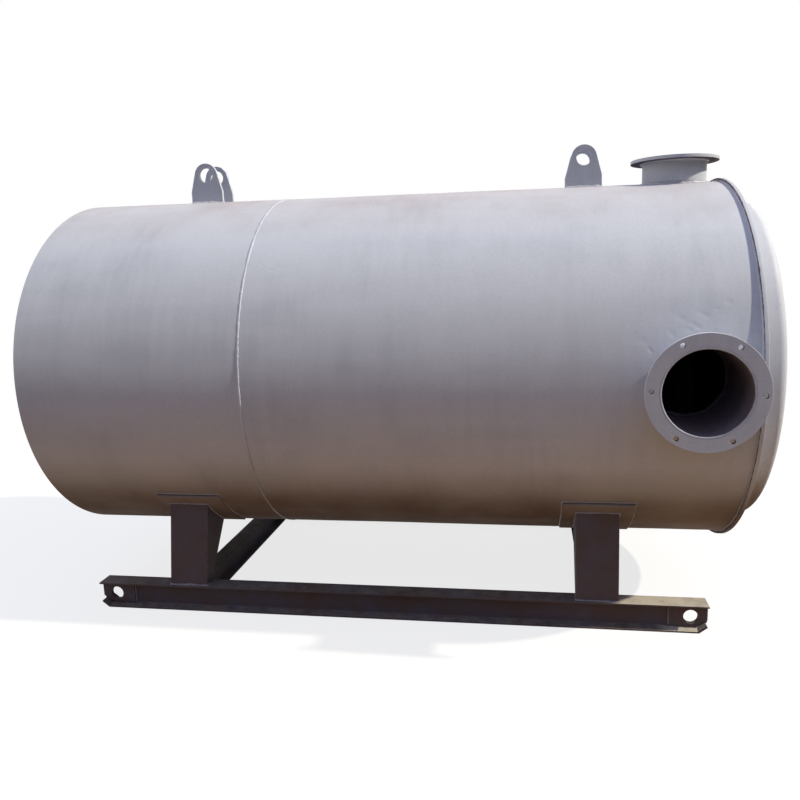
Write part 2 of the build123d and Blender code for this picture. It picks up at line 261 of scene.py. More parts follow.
def build_silver(add, place, colours):
    """Sprayed aluminium paint, satin. It gives a soft grey sheen, cloudy where the coat is thinner,
    with faint runs down the sides, a brown film low down that is partly soil and partly painted shade,
    fine specks of grit, and a painted sheen that leaves the shell darker towards its left end."""
    axes = add(AXES, (place,)).outputs
    cloud = add(NOISE, (place, per_metre(310), 6.0, 0.6))
    cloudy = add(RANGE, (cloud, 0.36, 0.66))
    # Spray passes run along the tank, so this pattern is drawn out along X
    stretched = add(MAPPING, {"Vector": place, "Scale": (0.12, 1.0, 1.0)})
    passes = add(NOISE, (stretched, per_metre(90), 3.0))
    # Runs of wet paint and rain go straight down, so this one is drawn out along Z
    hung = add(MAPPING, {"Vector": place, "Scale": (1.0, 0.3, 0.07)})
    runs = add(NOISE, (hung, per_metre(34), 3.0))
    both = add(MATH, (passes, runs), operation="ADD")
    streaks = add(RANGE, (both, 0.72, 1.28))
    uneven = add(MATH, (cloudy, streaks), operation="MULTIPLY")
    faint = add(MATH, (uneven, 0.62), operation="MULTIPLY")
    # Painted sheen: the shell is painted darker towards its left end, so that its right end reads as brightened
    # by the sun's broad sheen
    thinner = add(RANGE, (axes["X"], 1.2, -1.3, 0.0, 0.5))
    coat = add(MATH, (faint, thinner), operation="ADD", use_clamp=True)
    # Water standing on the very top has left a faint ochre there, but nozzle and lugs shed it
    high_part = add(RANGE, (axes["Z"], level_at(0.72), SHELL_TOP, 0.0, 0.5))
    shed = add(RANGE, (axes["Z"], SHELL_TOP + 1 * MM, SHELL_TOP + 5 * MM, 1.0, 0.0))
    wet = add(MATH, (high_part, shed), operation="MULTIPLY")
    ochre = add(MATH, (wet, cloud), operation="MULTIPLY")
    # Soil from the ground lies as a film on the lower part; the film is also painted shade, growing browner and
    # darker towards the bottom as under the tank's own shadow
    low_row = (axes["Z"], level_at(-0.38), level_at(-0.74), 0.0, 0.96)
    low_part = add(RANGE, low_row, interpolation_type="SMOOTHSTEP")
    patchy = add(RANGE, (cloud, 0.3, 0.7, 0.8, 1.0))
    film = add(MATH, (low_part, patchy), operation="MULTIPLY")
    # Grit of about a millimetre is drawn at 7 mm, as finer specks would not show
    grit = add(NOISE, (place, per_metre(7), 2.0))
    specks = add(RANGE, (grit, 0.45, 0.80, 0.0, 0.15))
    layers = ((coat, "silver_patch"), (ochre, "rust"), (film, "belly"), (specks, "grime"))
    colour = coats(add, colours, "silver", *layers)
    # The spray's orange-peel of a few millimetres is drawn at 11 mm
    peel = add(NOISE, (place, per_metre(11), 3.0))
    sheen = add(RANGE, (passes, 0.3, 0.7, 0.46, 0.60))
    # The soil film, painted shade included, takes the sheen off
    dulled = add(MATH, (film, 0.35, sheen), operation="MULTIPLY_ADD")
    close_finish(add, colour, dulled, specular=0.2, relief=peel, strength=0.16, depth=0.6)


def build_bead(add, place, colours, base, patch, rust_share, roughness, soil):
    """Painted hand-laid weld: rough and knobbly, with rust at its toes where the paint is thin, and over
    its low parts the brown film of the tank's underside, partly soil and partly painted shade."""
    height = add(AXES, (place,)).outputs["Z"]
    lumps = add(NOISE, (place, per_metre(26), 4.0))
    bleed = add(NOISE, (place, per_metre(70), 5.0, 0.65))
    stain = add(RANGE, (bleed, 0.58, 0.74, 0.0, rust_share))
    # Painted shade with soil: the low parts grow browner towards the bottom, by the soil share
    low_part = add(RANGE, (height, level_at(-0.1), level_at(-0.7), 0.0, soil))
    colour = coats(add, colours, base, (lumps, patch), (stain, "rust"), (low_part, "belly"))
    # Solidified ripples of about a millimetre are drawn at 5 mm
    ripple = add(NOISE, (place, per_metre(5), 2.0))
    close_finish(add, colour, roughness, specular=0.4, relief=ripple, strength=0.8, depth=1.4)


def build_charcoal(add, place, colours):
    """Brushed dark machine paint over mill-scaled steel: a dull satin with browner patches, dust lying
    on whatever faces up, and bare edges where chains and forks have rubbed."""
    axes = add(AXES, (place,)).outputs
    facing = add(AXES, (add("ShaderNodeNewGeometry").outputs["Normal"],)).outputs
    cloud = add(NOISE, (place, per_metre(140), 5.0, 0.6))
    share = add(RANGE, (cloud, 0.38, 0.62))
    level = add(RANGE, (facing["Z"], 0.6, 0.95))
    drift = add(NOISE, (place, per_metre(45), 6.0, 0.7))
    lying = add(RANGE, (drift, 0.34, 0.74, 0.0, 0.34))
    dust = add(MATH, (level, lying), operation="MULTIPLY")
    # The right ends of the beams lie clear of the tank, so rain and mud have bleached their upper faces; the
    # pale patch is also painted light, standing for the key's light there, with its edge along the tank's
    # shadow
    outward = add(MATH, (axes["Z"], 2.0, axes["X"]), operation="MULTIPLY_ADD")
    bleach = add(RANGE, (outward, 0.95, 1.01, 0.0, 0.88))
    mottled = add(RANGE, (drift, 0.35, 0.55, 0.62, 1.0))
    low = add(RANGE, (axes["Z"], BEAM_TOP + 1 * MM, BEAM_TOP + 4 * MM, 1.0, 0.0))
    for part in (mottled, level, low):
        bleach = add(MATH, (bleach, part), operation="MULTIPLY")
    edge = add("ShaderNodeAttribute", attribute_name="worn_edge").outputs["Fac"]
    chips = add(NOISE, (place, per_metre(12), 3.0))
    chipped = add(RANGE, (chips, 0.46, 0.64, 0.0, 0.45))
    rubbed = add(MATH, (edge, chipped), operation="MULTIPLY")
    layers = ((share, "charcoal_patch"), (dust, "dust"), (bleach, "bleach"), (rubbed, "grime"))
    colour = coats(add, colours, "charcoal", *layers)
    # Brush lines of a few tenths of a millimetre are drawn at 4 mm
    lines = add(MAPPING, {"Vector": place, "Scale": (0.15, 1.0, 0.15)})
    brush = add(NOISE, (lines, per_metre(4), 2.0))
    sheen = add(RANGE, (cloud, 0.3, 0.7, 0.58, 0.74))
    close_finish(add, colour, sheen, specular=0.10, relief=brush, strength=0.2, depth=0.4)


def build_scale(add, place, colours):
    """Bare hot-rolled plate inside the tank: blue-black mill scale with brown rust, dry and dull. Its darkness
    is also painted shade that keeps the tank's inside dark.
    """
    cloud = add(NOISE, (place, per_metre(60), 6.0, 0.65))
    stain = add(RANGE, (cloud, 0.48, 0.70, 0.0, 0.30))
    colour = coats(add, colours, "scale", (stain, "rust"))
    close_finish(add, colour, roughness=0.62, specular=0.4, relief=cloud, strength=0.2, depth=0.5)


def build_undercoat(add, place, colours):
    """Thin grey undercoat that the top coat never reached: dark, dull and blotched with brown. Its darkness is
    also painted shade, put inside the necks, on the ledge bead deep in the side neck and under the top flange.
    """
    cloud = add(NOISE, (place, per_metre(80), 5.0, 0.6))
    blotch = add(RANGE, (cloud, 0.42, 0.70, 0.0, 0.5))
    colour = coats(add, colours, "undercoat", (blotch, "belly"))
    # Grit under the thin coat, drawn at 8 mm
    grit = add(NOISE, (place, per_metre(8), 3.0))
    close_finish(add, colour, roughness=0.82, specular=0.08, relief=grit, strength=0.25, depth=0.6)


def build_cut_edge(add, place, colours):
    """Flame-cut plate edge, thinly painted: dark and dry, scored by the torch and brown with rust."""
    # Torch lines of about a millimetre are drawn at 6 mm
    lines = add(NOISE, (place, per_metre(6), 3.0))
    patches = add(NOISE, (place, per_metre(55), 4.0))
    stain = add(RANGE, (patches, 0.40, 0.68, 0.0, 0.20))
    drops = add(RANGE, (lines, 0.62, 0.72, 0.0, 0.7))
    colour = coats(add, colours, "cut_edge", (stain, "rust"), (drops, "silver"))
    close_finish(add, colour, roughness=0.7, specular=0.3, relief=lines, strength=0.6, depth=1.2)


# A weld's soil share browns its low parts, partly as painted shade
SILVER_WELD = dict(base="silver", patch="silver_patch", rust_share=0.30, roughness=0.5, soil=0.75)
DARK_WELD = dict(base="bead_grey", patch="charcoal", rust_share=0.25, roughness=0.6, soil=0.0)
FINISHES = {
    ALUMINIUM: (build_silver, {}),
    CHARCOAL: (build_charcoal, {}),
    BARE: (build_scale, {}),
    UNDERCOAT: (build_undercoat, {}),
    "flame_cut_edge": (build_cut_edge, {}),
    "painted_silver_weld": (build_bead, SILVER_WELD),
    "painted_charcoal_weld": (build_bead, DARK_WELD),
}


def finish_of(name):
    """The named finish, built on first use."""
    material = bpy.data.materials.get(name)
    if not material:
        material, add, place = new_material(name)
        build, values = FINISHES[name]
        build(add, place, sizes("tank_colours"), **values)
    return material


# Pieces


def settle(piece, slot, *nodes):
    """The piece moves with the tank and stands for the nodes it replaces, which are hidden. Its slot is not
    used.
    """
    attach(piece, BODY)
    if nodes:
        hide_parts(*nodes)
    return piece


def link_object(name, data):
    made = bpy.data.objects.new(name, data)
    bpy.context.scene.collection.objects.link(made)
    return made


def remove_piece(piece):
    """Take away an object and its mesh."""
    mesh = piece.data
    bpy.data.objects.remove(piece)
    bpy.data.meshes.remove(mesh)


def baked(name, piece):
    """A plain mesh object of what the piece's modifiers make of it, in place of the piece."""
    graph = bpy.context.evaluated_depsgraph_get()
    mesh = bpy.data.meshes.new_from_object(piece.evaluated_get(graph))
    mesh.name = name
    remove_piece(piece)
    return link_object(name, mesh)


def smooth_mesh(mesh, sharp_degrees):
    mesh.polygons.foreach_set("use_smooth", [True] * len(mesh.polygons))
    mesh.set_sharp_from_angle(angle=radians(sharp_degrees))


def dressed_copy(node, edge, finish, slot, pick=None, others=(BARE,)):
    """A merged copy of a CAD node with its edges rounded and marked for wear; pick gives each face its
    finish, 0 for the main one and then the others in order."""
    bm = bmesh.new()
    bm.from_mesh(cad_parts[node].data)
    bmesh.ops.remove_doubles(bm, verts=bm.verts, dist=MERGE_GAP)
    bmesh.ops.dissolve_limit(bm, angle_limit=FLAT_ANGLE, verts=bm.verts, edges=bm.edges)
    layer = bm.faces.layers.float.new("worn_edge")
    sharp = [e for e in bm.edges if e.is_manifold and e.calc_face_angle(0) > ROUNDED_ANGLE]
    made = bmesh.ops.bevel(
        bm, geom=sharp, offset=edge, offset_type="OFFSET", segments=2, profile=0.5, affect="EDGES",
        clamp_overlap=True,
    )
    for face in made["faces"]:
        face[layer] = 1.0
    finishes = [finish]
    if pick:
        finishes += others
        for face in bm.faces:
            face.material_index = int(pick(face.calc_center_median(), face.normal))
    mesh = bpy.data.meshes.new(node + "_dressed")
    bm.to_mesh(mesh)
    bm.free()
    for name in finishes:
        mesh.materials.append(finish_of(name))
    smooth_mesh(mesh, sharp_degrees=50)
    piece = link_object(node + "_work", mesh)
    weighted = piece.modifiers.new("Flat faces", "WEIGHTED_NORMAL")
    weighted.weight = 100
    weighted.keep_sharp = True
    return settle(baked(node + "_dressed", piece), slot, node)


def faces_axis(centre, normal):
    """True where a face looks towards the tank's axis."""
    return normal.y * (centre.y - AXIS_Y) + normal.z * (centre.z - AXIS_Z) < -0.15 * SHELL_RADIUS


def way_out(angle):
    """Way out from the tank's axis, the angle taken from the top towards the front."""
    return Vector((0.0, -sin(angle), cos(angle)))


def round_axis(x, angle, radius):
    """A point at a radius round the tank's axis."""
    return Vector((x, AXIS_Y, AXIS_Z)) + way_out(angle) * radius


# Geometry node trees


def build_course(add, given):
    """Rolled shell course: a tube whose plate waves a little, given its wall and cut for its openings."""
    tube = add(
        "GeometryNodeMeshCylinder",
        {
            "Vertices": given["Around"], "Side Segments": given["Along"], "Radius": given["Radius"],
            "Depth": given["Length"],
        },
        fill_type="NONE",
    )
    laid = add(
        "GeometryNodeTransform",
        {"Geometry": tube, "Translation": given["Middle"], "Rotation": (0.0, pi / 2, 0.0)},
    )
    place = add("GeometryNodeInputPosition")
    wave = add(NOISE, (place, given["Seed"], given["Wave scale"], 2.0), noise_dimensions="4D")
    swing = add(RANGE, (wave, 0.25, 0.75, -1.0, 1.0))
    reach = add(MATH, (swing, given["Wave height"]), operation="MULTIPLY")
    normal = add("GeometryNodeInputNormal")
    offset = add(VECTOR_MATH, {0: normal, "Scale": reach}, operation="SCALE")
    waved = add("GeometryNodeSetPosition", {"Geometry": laid, "Offset": offset})
    inwards = add(MATH, (given["Wall"], -1.0), operation="MULTIPLY")
    wall = add("GeometryNodeExtrudeMesh", {"Mesh": waved, "Offset Scale": inwards, "Individual": False})
    turned = add("GeometryNodeFlipFaces", {"Mesh": wall})
    both = add("GeometryNodeJoinGeometry")
    for part in (turned, waved):
        both.id_data.links.new(part.outputs[0], both.inputs[0])
    closed = add("GeometryNodeMergeByDistance", {"Geometry": both, "Distance": MERGE_GAP})
    cutters = add("GeometryNodeObjectInfo", {"Object": given["Openings"]}).outputs["Geometry"]
    return add(
        "GeometryNodeMeshBoolean", {"Mesh 1": closed, "Mesh 2": cutters},
        operation="DIFFERENCE", solver="EXACT",
    )


def build_run(add, given):
    """Weld bead: a flattened round run along a path, swelling and wandering as a hand-laid bead does."""
    line = add("GeometryNodeMeshToCurve", {"Mesh": given["Geometry"]})
    fine = add("GeometryNodeResampleCurve", {"Curve": line, "Length": given["Step"]}, mode="LENGTH")
    up = add("GeometryNodeInputNamedAttribute", {"Name": "bead_up"}, data_type="FLOAT_VECTOR")
    upright = add("GeometryNodeSetCurveNormal", {"Curve": fine, "Normal": up}, mode="FREE")
    place = add("GeometryNodeInputPosition")
    # Swellings, sideways drift and knobs, each with its size in millimetres
    lumps, drift, knobs = (
        add(NOISE, (place, given["Seed"], per_metre(size), detail), noise_dimensions="4D")
        for size, detail in ((42, 3.0), (95, 1.0), (13, 1.0))
    )
    centred = add(VECTOR_MATH, (drift.outputs["Color"], (0.5, 0.5, 0.5)), operation="SUBTRACT")
    sway = add(VECTOR_MATH, {0: centred, "Scale": given["Wander"]}, operation="SCALE")
    wandered = add("GeometryNodeSetPosition", {"Geometry": upright, "Offset": sway})
    along = add("GeometryNodeSplineParameter").outputs["Length"]
    pace = add(MATH, (tau, given["Ripple"]), operation="DIVIDE")
    turns = add(MATH, (along, pace), operation="MULTIPLY")
    rippled = add(MATH, (turns,), operation="SINE")
    swell = add(RANGE, (lumps, 0.25, 0.75, -1.0, 1.0))
    uneven = add(MATH, (swell, given["Uneven"], 1.0), operation="MULTIPLY_ADD")
    wavy = add(MATH, (rippled, 0.09, uneven), operation="MULTIPLY_ADD")
    knobbly = add(RANGE, (knobs, 0.25, 0.75, -0.28, 0.28))
    scale = add(MATH, (wavy, knobbly), operation="ADD")
    ring = add("GeometryNodeCurvePrimitiveCircle", {"Resolution": 8, "Radius": 1.0})
    flat = add("ShaderNodeCombineXYZ", (given["Rise"], given["Half width"], 1.0))
    section = add("GeometryNodeTransform", {"Geometry": ring, "Scale": flat})
    bead = add(
        "GeometryNodeCurveToMesh",
        {"Curve": wandered, "Profile Curve": section, "Scale": scale, "Fill Caps": True},
    )
    return add("GeometryNodeSetShadeSmooth", {"Geometry": bead})


def build_spatter(add, given):
    """Weld spatter: small flattened drops thrown over a patch of plate."""
    spread = add(
        "GeometryNodeDistributePointsOnFaces",
        {"Mesh": given["Geometry"], "Density": given["Density"], "Seed": given["Seed"]},
    )
    drop = add("GeometryNodeMeshIcoSphere", {"Radius": given["Drop"], "Subdivisions": 2})
    size = add("FunctionNodeRandomValue", {2: 0.35, 3: 1.0, "Seed": given["Seed"]}, data_type="FLOAT")
    flat = add(VECTOR_MATH, {0: (1.0, 1.0, 0.55), "Scale": size}, operation="SCALE")
    thrown = add(
        "GeometryNodeInstanceOnPoints",
        {"Points": spread, "Instance": drop, "Rotation": spread.outputs["Rotation"], "Scale": flat},
    )
    return add("GeometryNodeSetShadeSmooth", {"Geometry": thrown})


# Each tree's builder and its inputs with their kinds of socket
TREES = {
    "rolled_course": (
        build_course,
        {
            "Radius": "Float", "Wall": "Float", "Length": "Float", "Middle": "Vector", "Around": "Int",
            "Along": "Int", "Wave height": "Float", "Wave scale": "Float", "Seed": "Float",
            "Openings": "Object", "Paint": "Material",
        },
    ),
    "weld_bead": (
        build_run,
        {
            "Half width": "Float", "Rise": "Float", "Step": "Float", "Ripple": "Float", "Uneven": "Float",
            "Wander": "Float", "Seed": "Float", "Paint": "Material",
        },
    ),
    "weld_spatter": (
        build_spatter, {"Drop": "Float", "Density": "Float", "Seed": "Int", "Paint": "Material"}
    ),
}


def tree_of(name):
    """The named geometry node tree with a geometry in and out, built on first use."""
    tree = bpy.data.node_groups.get(name)
    if tree:
        return tree
    build, inputs = TREES[name]
    tree = bpy.data.node_groups.new(name, "GeometryNodeTree")
    for label, kind in {"Geometry": "Geometry", **inputs}.items():
        tree.interface.new_socket(label, in_out="INPUT", socket_type="NodeSocket" + kind)
    tree.interface.new_socket("Geometry", in_out="OUTPUT", socket_type="NodeSocketGeometry")
    add = partial(add_node, tree)
    given = add("NodeGroupInput").outputs
    real = add("GeometryNodeRealizeInstances", {"Geometry": build(add, given)})
    painted = add("GeometryNodeSetMaterial", {"Geometry": real, "Material": given["Paint"]})
    add("NodeGroupOutput", {"Geometry": painted})
    return tree


def grown(name, mesh, tree_name, values):
    """The plain mesh object that a tree makes of a mesh, with the tree's inputs set by their identifiers."""
    tree = tree_of(tree_name)
    piece = link_object(name + "_work", mesh)
    modifier = piece.modifiers.new(tree.name, "NODES")
    modifier.node_group = tree
    for item in tree.interface.items_tree:
        if item.item_type == "SOCKET" and item.in_out == "INPUT" and item.name in values:
            modifier[item.identifier] = values[item.name]
    piece = baked(name, piece)
    # A mesh that starts from a primitive node carries an empty slot before its paint
    piece.data.materials.clear()
    piece.data.materials.append(values["Paint"])
    piece.data.polygons.foreach_set("material_index", [0] * len(piece.data.polygons))
    return piece


# Weld paths


def path_mesh(paths):
    """Lines for the weld bead tree: each path is its points, the way up at each, and whether it closes."""
    mesh = bpy.data.meshes.new("weld_path")
    points, ups, edges = [], [], []
    for places, outs, closed in paths:
        start = len(points)
        points += [tuple(p) for p in places]
        ups += [tuple(u.normalized()) for u in outs]
        edges += [(i, i + 1) for i in range(start, len(points) - 1)]
        if closed:
            edges.append((len(points) - 1, start))
    mesh.from_pydata(points, edges, [])
    layer = mesh.attributes.new("bead_up", "FLOAT_VECTOR", "POINT")
    layer.data.foreach_set("vector", [c for u in ups for c in u])
    return mesh


def weld(name, paths, width, seed, wander, rise=None, uneven=1.0, slot=SILVER, nodes=(), finish=None):
    """Lay the beads of one piece along its paths, wandering by so many millimetres. A bead without a rise
    stands half as high as it is wide."""
    welds = sizes("tank_welds")
    paint = finish or ("painted_silver_weld" if slot == SILVER else "painted_charcoal_weld")
    piece = grown(
        name, path_mesh(paths), "weld_bead",
        {
            "Half width": width / 2, "Rise": rise or width / 2, "Step": welds.step,
            "Ripple": welds.ripple, "Uneven": welds.uneven * uneven, "Wander": wander * MM, "Seed": seed,
            "Paint": finish_of(paint),
        },
    )
    return settle(piece, slot, *nodes)


def round_path(x, radius, tilt=0.0, count=240):
    """A circle round the tank's axis; tilt leans the way up along X."""
    angles = [tau * i / count for i in range(count)]
    places = [round_axis(x, angle, radius) for angle in angles]
    return places, [way_out(angle) + Vector((tilt, 0.0, 0.0)) for angle in angles], True


def straight(start, end, up, count=12):
    places = [start.lerp(end, i / count) for i in range(count + 1)]
    return places, [Vector(up)] * (count + 1), False


def box_corners(low, high):
    return [(low.x, low.y), (high.x, low.y), (high.x, high.y), (low.x, high.y)]


def rim_path(corners, height, lean, count=14):
    """Closed path round a plate's foot on a curved seat, from its front left corner: height gives z at y,
    lean the seat's way out."""
    away = [(0, -1), (1, 0), (0, 1), (-1, 0)]
    places, outs = [], []
    for k in range(4):
        (ax, ay), (bx, by) = corners[k], corners[(k + 1) % 4]
        for i in range(count):
            x, y = ax + (bx - ax) * i / count, ay + (by - ay) * i / count
            places.append(Vector((x, y, height(y))))
            outs.append(lean(y) + Vector((*away[k], 0.0)))
    return places, outs, True


def seat_height(radius, up):
    """Height at y of a round about the tank's axis: its upper side where up is 1, its lower where -1."""
    return lambda y: AXIS_Z + up * sqrt(radius**2 - (y - AXIS_Y) ** 2)


def seat_lean(up):
    """Way out of the shell at y: on its upper side where up is 1, its lower where -1."""

    def lean(y):
        angle = asin((AXIS_Y - y) / SHELL_RADIUS)
        return Vector((0.0, -sin(angle), up * cos(angle)))

    return lean


# Operators


class TANK_OT_shell(bpy.types.Operator):
    """Roll the two shell courses, with their openings and a few small dents"""

    bl_idname = "tank.shell"
    bl_label = "Shell courses"

    def execute(self, context):
        shell = sizes("tank_shell")
        openings = self.cutters()
        courses = (("left", left_low, left_high, 3.0), ("right", right_low, right_high, 7.0))
        for side, low, high, seed in courses:
            length = high.x - low.x
            piece = grown(
                f"shell_{side}_rolled", bpy.data.meshes.new("course_start"), "rolled_course",
                {
                    "Radius": SHELL_RADIUS, "Wall": shell.wall, "Length": length,
                    "Middle": ((low.x + high.x) / 2, AXIS_Y, AXIS_Z), "Around": shell.around,
                    "Along": round(length / shell.cell), "Wave height": shell.wave_height,
                    "Wave scale": 1.0 / shell.wave_length, "Seed": seed,
                    "Openings": openings if side == "right" else None, "Paint": finish_of(ALUMINIUM),
                },
            )
            if side == "right":
                self.dent(piece.data)
            # The shell's inside takes the dark bare finish, partly as painted shade
            piece.data.materials.append(finish_of(BARE))
            for face in piece.data.polygons:
                face.material_index = int(faces_axis(face.center, face.normal))
            smooth_mesh(piece.data, sharp_degrees=40)
            settle(piece, SILVER, f"shell_{side}_course")
        remove_piece(openings)
        return {"FINISHED"}

    def cutters(self):
        """Round bars where the necks pass through the shell, a little wider than the necks."""
        gap = 0.3 * MM
        bm = bmesh.new()
        lying = Matrix.Rotation(pi / 2, 4, "X")
        for node, turn in (("side_nozzle_neck", lying), ("top_nozzle_neck", Matrix())):
            low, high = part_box(node)
            radius = (high.x - low.x) / 2 + gap
            length = 2 * max(high.y - low.y, high.z - low.z)
            bmesh.ops.create_cone(
                bm, cap_ends=True, segments=128, radius1=radius, radius2=radius, depth=length,
                matrix=Matrix.Translation((low + high) / 2) @ turn,
            )
        mesh = bpy.data.meshes.new("neck_openings")
        bm.to_mesh(mesh)
        bm.free()
        return link_object("neck_openings", mesh)

    def dent(self, mesh):
        """Shallow knocks and creases: above the side nozzle, beside the girth seam, and two broad ones."""
        depth = sizes("tank_shell").dent_depth
        # Place along the tank, degrees from the top, half length, half width, turn in degrees, depth's share
        knocks = (
            (NOZZLE_X - 0.012, 73.8, 0.030, 0.013, 35, 1.0), (NOZZLE_X + 0.012, 70.9, 0.034, 0.013, 30, 0.9),
            (NOZZLE_X + 0.085, 67.5, 0.022, 0.013, 20, 0.8), (NOZZLE_X - 0.056, 71.6, 0.034, 0.015, 40, 0.7),
            (NOZZLE_X - 0.030, 74.9, 0.020, 0.011, 10, 0.8), (NOZZLE_X - 0.084, 75.8, 0.028, 0.013, 50, 0.6),
            (NOZZLE_X + 0.051, 69.4, 0.014, 0.010, 0, 0.7), (NOZZLE_X - 0.150, 80.0, 0.016, 0.008, 60, 1.0),
            (NOZZLE_X - 0.171, 77.6, 0.034, 0.018, 20, 0.5), (SEAM_X + 0.058, 53.0, 0.010, 0.008, 0, 0.5),
            (SEAM_X + 0.093, 54.5, 0.012, 0.008, 0, 0.7), (SEAM_X + 0.124, 53.5, 0.010, 0.008, 0, 0.5),
            (SEAM_X + 0.62, 100, 0.120, 0.090, 0, 0.8), (NOZZLE_X - 0.50, 52, 0.140, 0.100, 0, 0.7),
        )
        spots = [
            (round_axis(x, radians(degrees), SHELL_RADIUS), radians(degrees), long, wide, radians(turn), share)
            for x, degrees, long, wide, turn, share in knocks
        ]
        # The plate is cut finer around the small ones
        broad, margin = 0.05, 14 * MM
        small = [(place, long + margin) for place, _, long, *_ in spots if long < broad]
        bm = bmesh.new()
        bm.from_mesh(mesh)
        fine = [
            edge for edge in bm.edges
            if any(all((v.co - place).length < reach for v in edge.verts) for place, reach in small)
        ]
        bmesh.ops.subdivide_edges(bm, edges=fine, cuts=4, use_grid_fill=True)
        for vertex in bm.verts:
            for place, angle, long, wide, turn, share in spots:
                arm = vertex.co - place
                if arm.length > long:
                    continue
                down = arm.dot(Vector((0.0, -cos(angle), -sin(angle))))
                along = arm.x * cos(turn) + down * sin(turn)
                across = down * cos(turn) - arm.x * sin(turn)
                near = (along / long) ** 2 + (across / wide) ** 2
                if near < 1.0:
                    vertex.co -= way_out(angle) * depth * share * (1 - near) ** 2
        bm.to_mesh(mesh)
        bm.free()


class TANK_OT_girth_weld(bpy.types.Operator):
    """Lay the bead over the girth seam and the spatter beside it"""

    bl_idname = "tank.girth_weld"
    bl_label = "Girth weld"

    def execute(self, context):
        welds = sizes("tank_welds")
        weld(
            "girth_bead", [round_path(SEAM_X, SHELL_RADIUS)], welds.girth_width, seed=1.0, wander=3.0,
            rise=welds.girth_rise, uneven=1.2, nodes=("girth_weld",),
        )
        # Each patch from one place along the tank to another, and from one angle in degrees to another
        beside_welds = (
            (SEAM_X - 0.05, SEAM_X + 0.05, 5, 175),
            (right_high.x - 0.07, right_high.x - 0.012, 10, 160),
            (NOZZLE_X - 0.24, NOZZLE_X - 0.16, 60, 84),
        )
        cluster = ((SEAM_X + 0.05, SEAM_X + 0.135, 52.6, 55.0),)
        self.spatter("weld_spatter", beside_welds, drop=1.6 * MM, density=220.0, seed=5)
        self.spatter("spatter_cluster", cluster, drop=2.2 * MM, density=4200.0, seed=8)
        return {"FINISHED"}

    def spatter(self, name, patches, drop, density, seed):
        """Throw drops over patches of the shell, each a grid of points."""
        across, rows = 5, 40
        points, quads = [], []
        for low_x, high_x, first_degrees, last_degrees in patches:
            start = len(points)
            for r in range(rows):
                angle = radians(first_degrees + (last_degrees - first_degrees) * r / (rows - 1))
                for c in range(across):
                    x = low_x + (high_x - low_x) * c / (across - 1)
                    points.append(tuple(round_axis(x, angle, SHELL_RADIUS)))
            for r in range(rows - 1):
                first = start + r * across
                quads += [(i, i + 1, i + across + 1, i + across) for i in range(first, first + across - 1)]
        mesh = bpy.data.meshes.new("spatter_patches")
        mesh.from_pydata(points, [], quads)
        piece = grown(
            name, mesh, "weld_spatter",
            {"Drop": drop, "Density": density, "Seed": seed, "Paint": finish_of("painted_silver_weld")},
        )
        settle(piece, SILVER)


class TANK_OT_ends(bpy.types.Operator):
    """Dress the end ring and both heads, and weld them on"""

    bl_idname = "tank.ends"
    bl_label = "Ends"

    def execute(self, context):
        size, edges = sizes("tank_welds").ring_width, sizes("tank_edges")
        dressed_copy("right_end_ring", edges.plate, ALUMINIUM, SILVER, faces_axis)
        for side, inwards in (("right", -1), ("left", 1)):
            dressed_copy(
                f"{side}_head", edges.pipe, ALUMINIUM, SILVER,
                lambda centre, normal: normal.x * inwards > 0.1 or faces_axis(centre, normal),
            )
        ring_low, ring_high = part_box("right_end_ring")
        head_low, head_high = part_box("right_head")
        head_radius = (head_high.z - head_low.z) / 2
        beside_ring = [round_path(ring_low.x, SHELL_RADIUS, -1.0), round_path(ring_high.x, head_radius, 1.0)]
        weld("end_ring_welds", beside_ring, size, seed=11.0, wander=4.0)
        # The ring's left corner was flame-cut and left rough
        rim = (ring_high.z - ring_low.z) / 2
        corner = round_path(ring_low.x + 1.0 * MM, rim - 3.4 * MM, -1.0)
        weld("ring_cut_edge", [corner], 6 * MM, seed=13.0, wander=0.6, rise=2.2 * MM, finish="flame_cut_edge")
        # The left head's fillet lies where its knuckle has curved a little away from the shell's bore
        inset, knuckle, curved = 28 * MM, 40 * MM, 0.35
        radius = SHELL_RADIUS - sizes("tank_shell").wall - knuckle * (1 - sqrt(1 - curved**2))
        seat = round_path(left_low.x + inset, radius, -1.0)
        weld("left_head_weld", [seat], size, seed=12.0, wander=4.0)
        return {"FINISHED"}


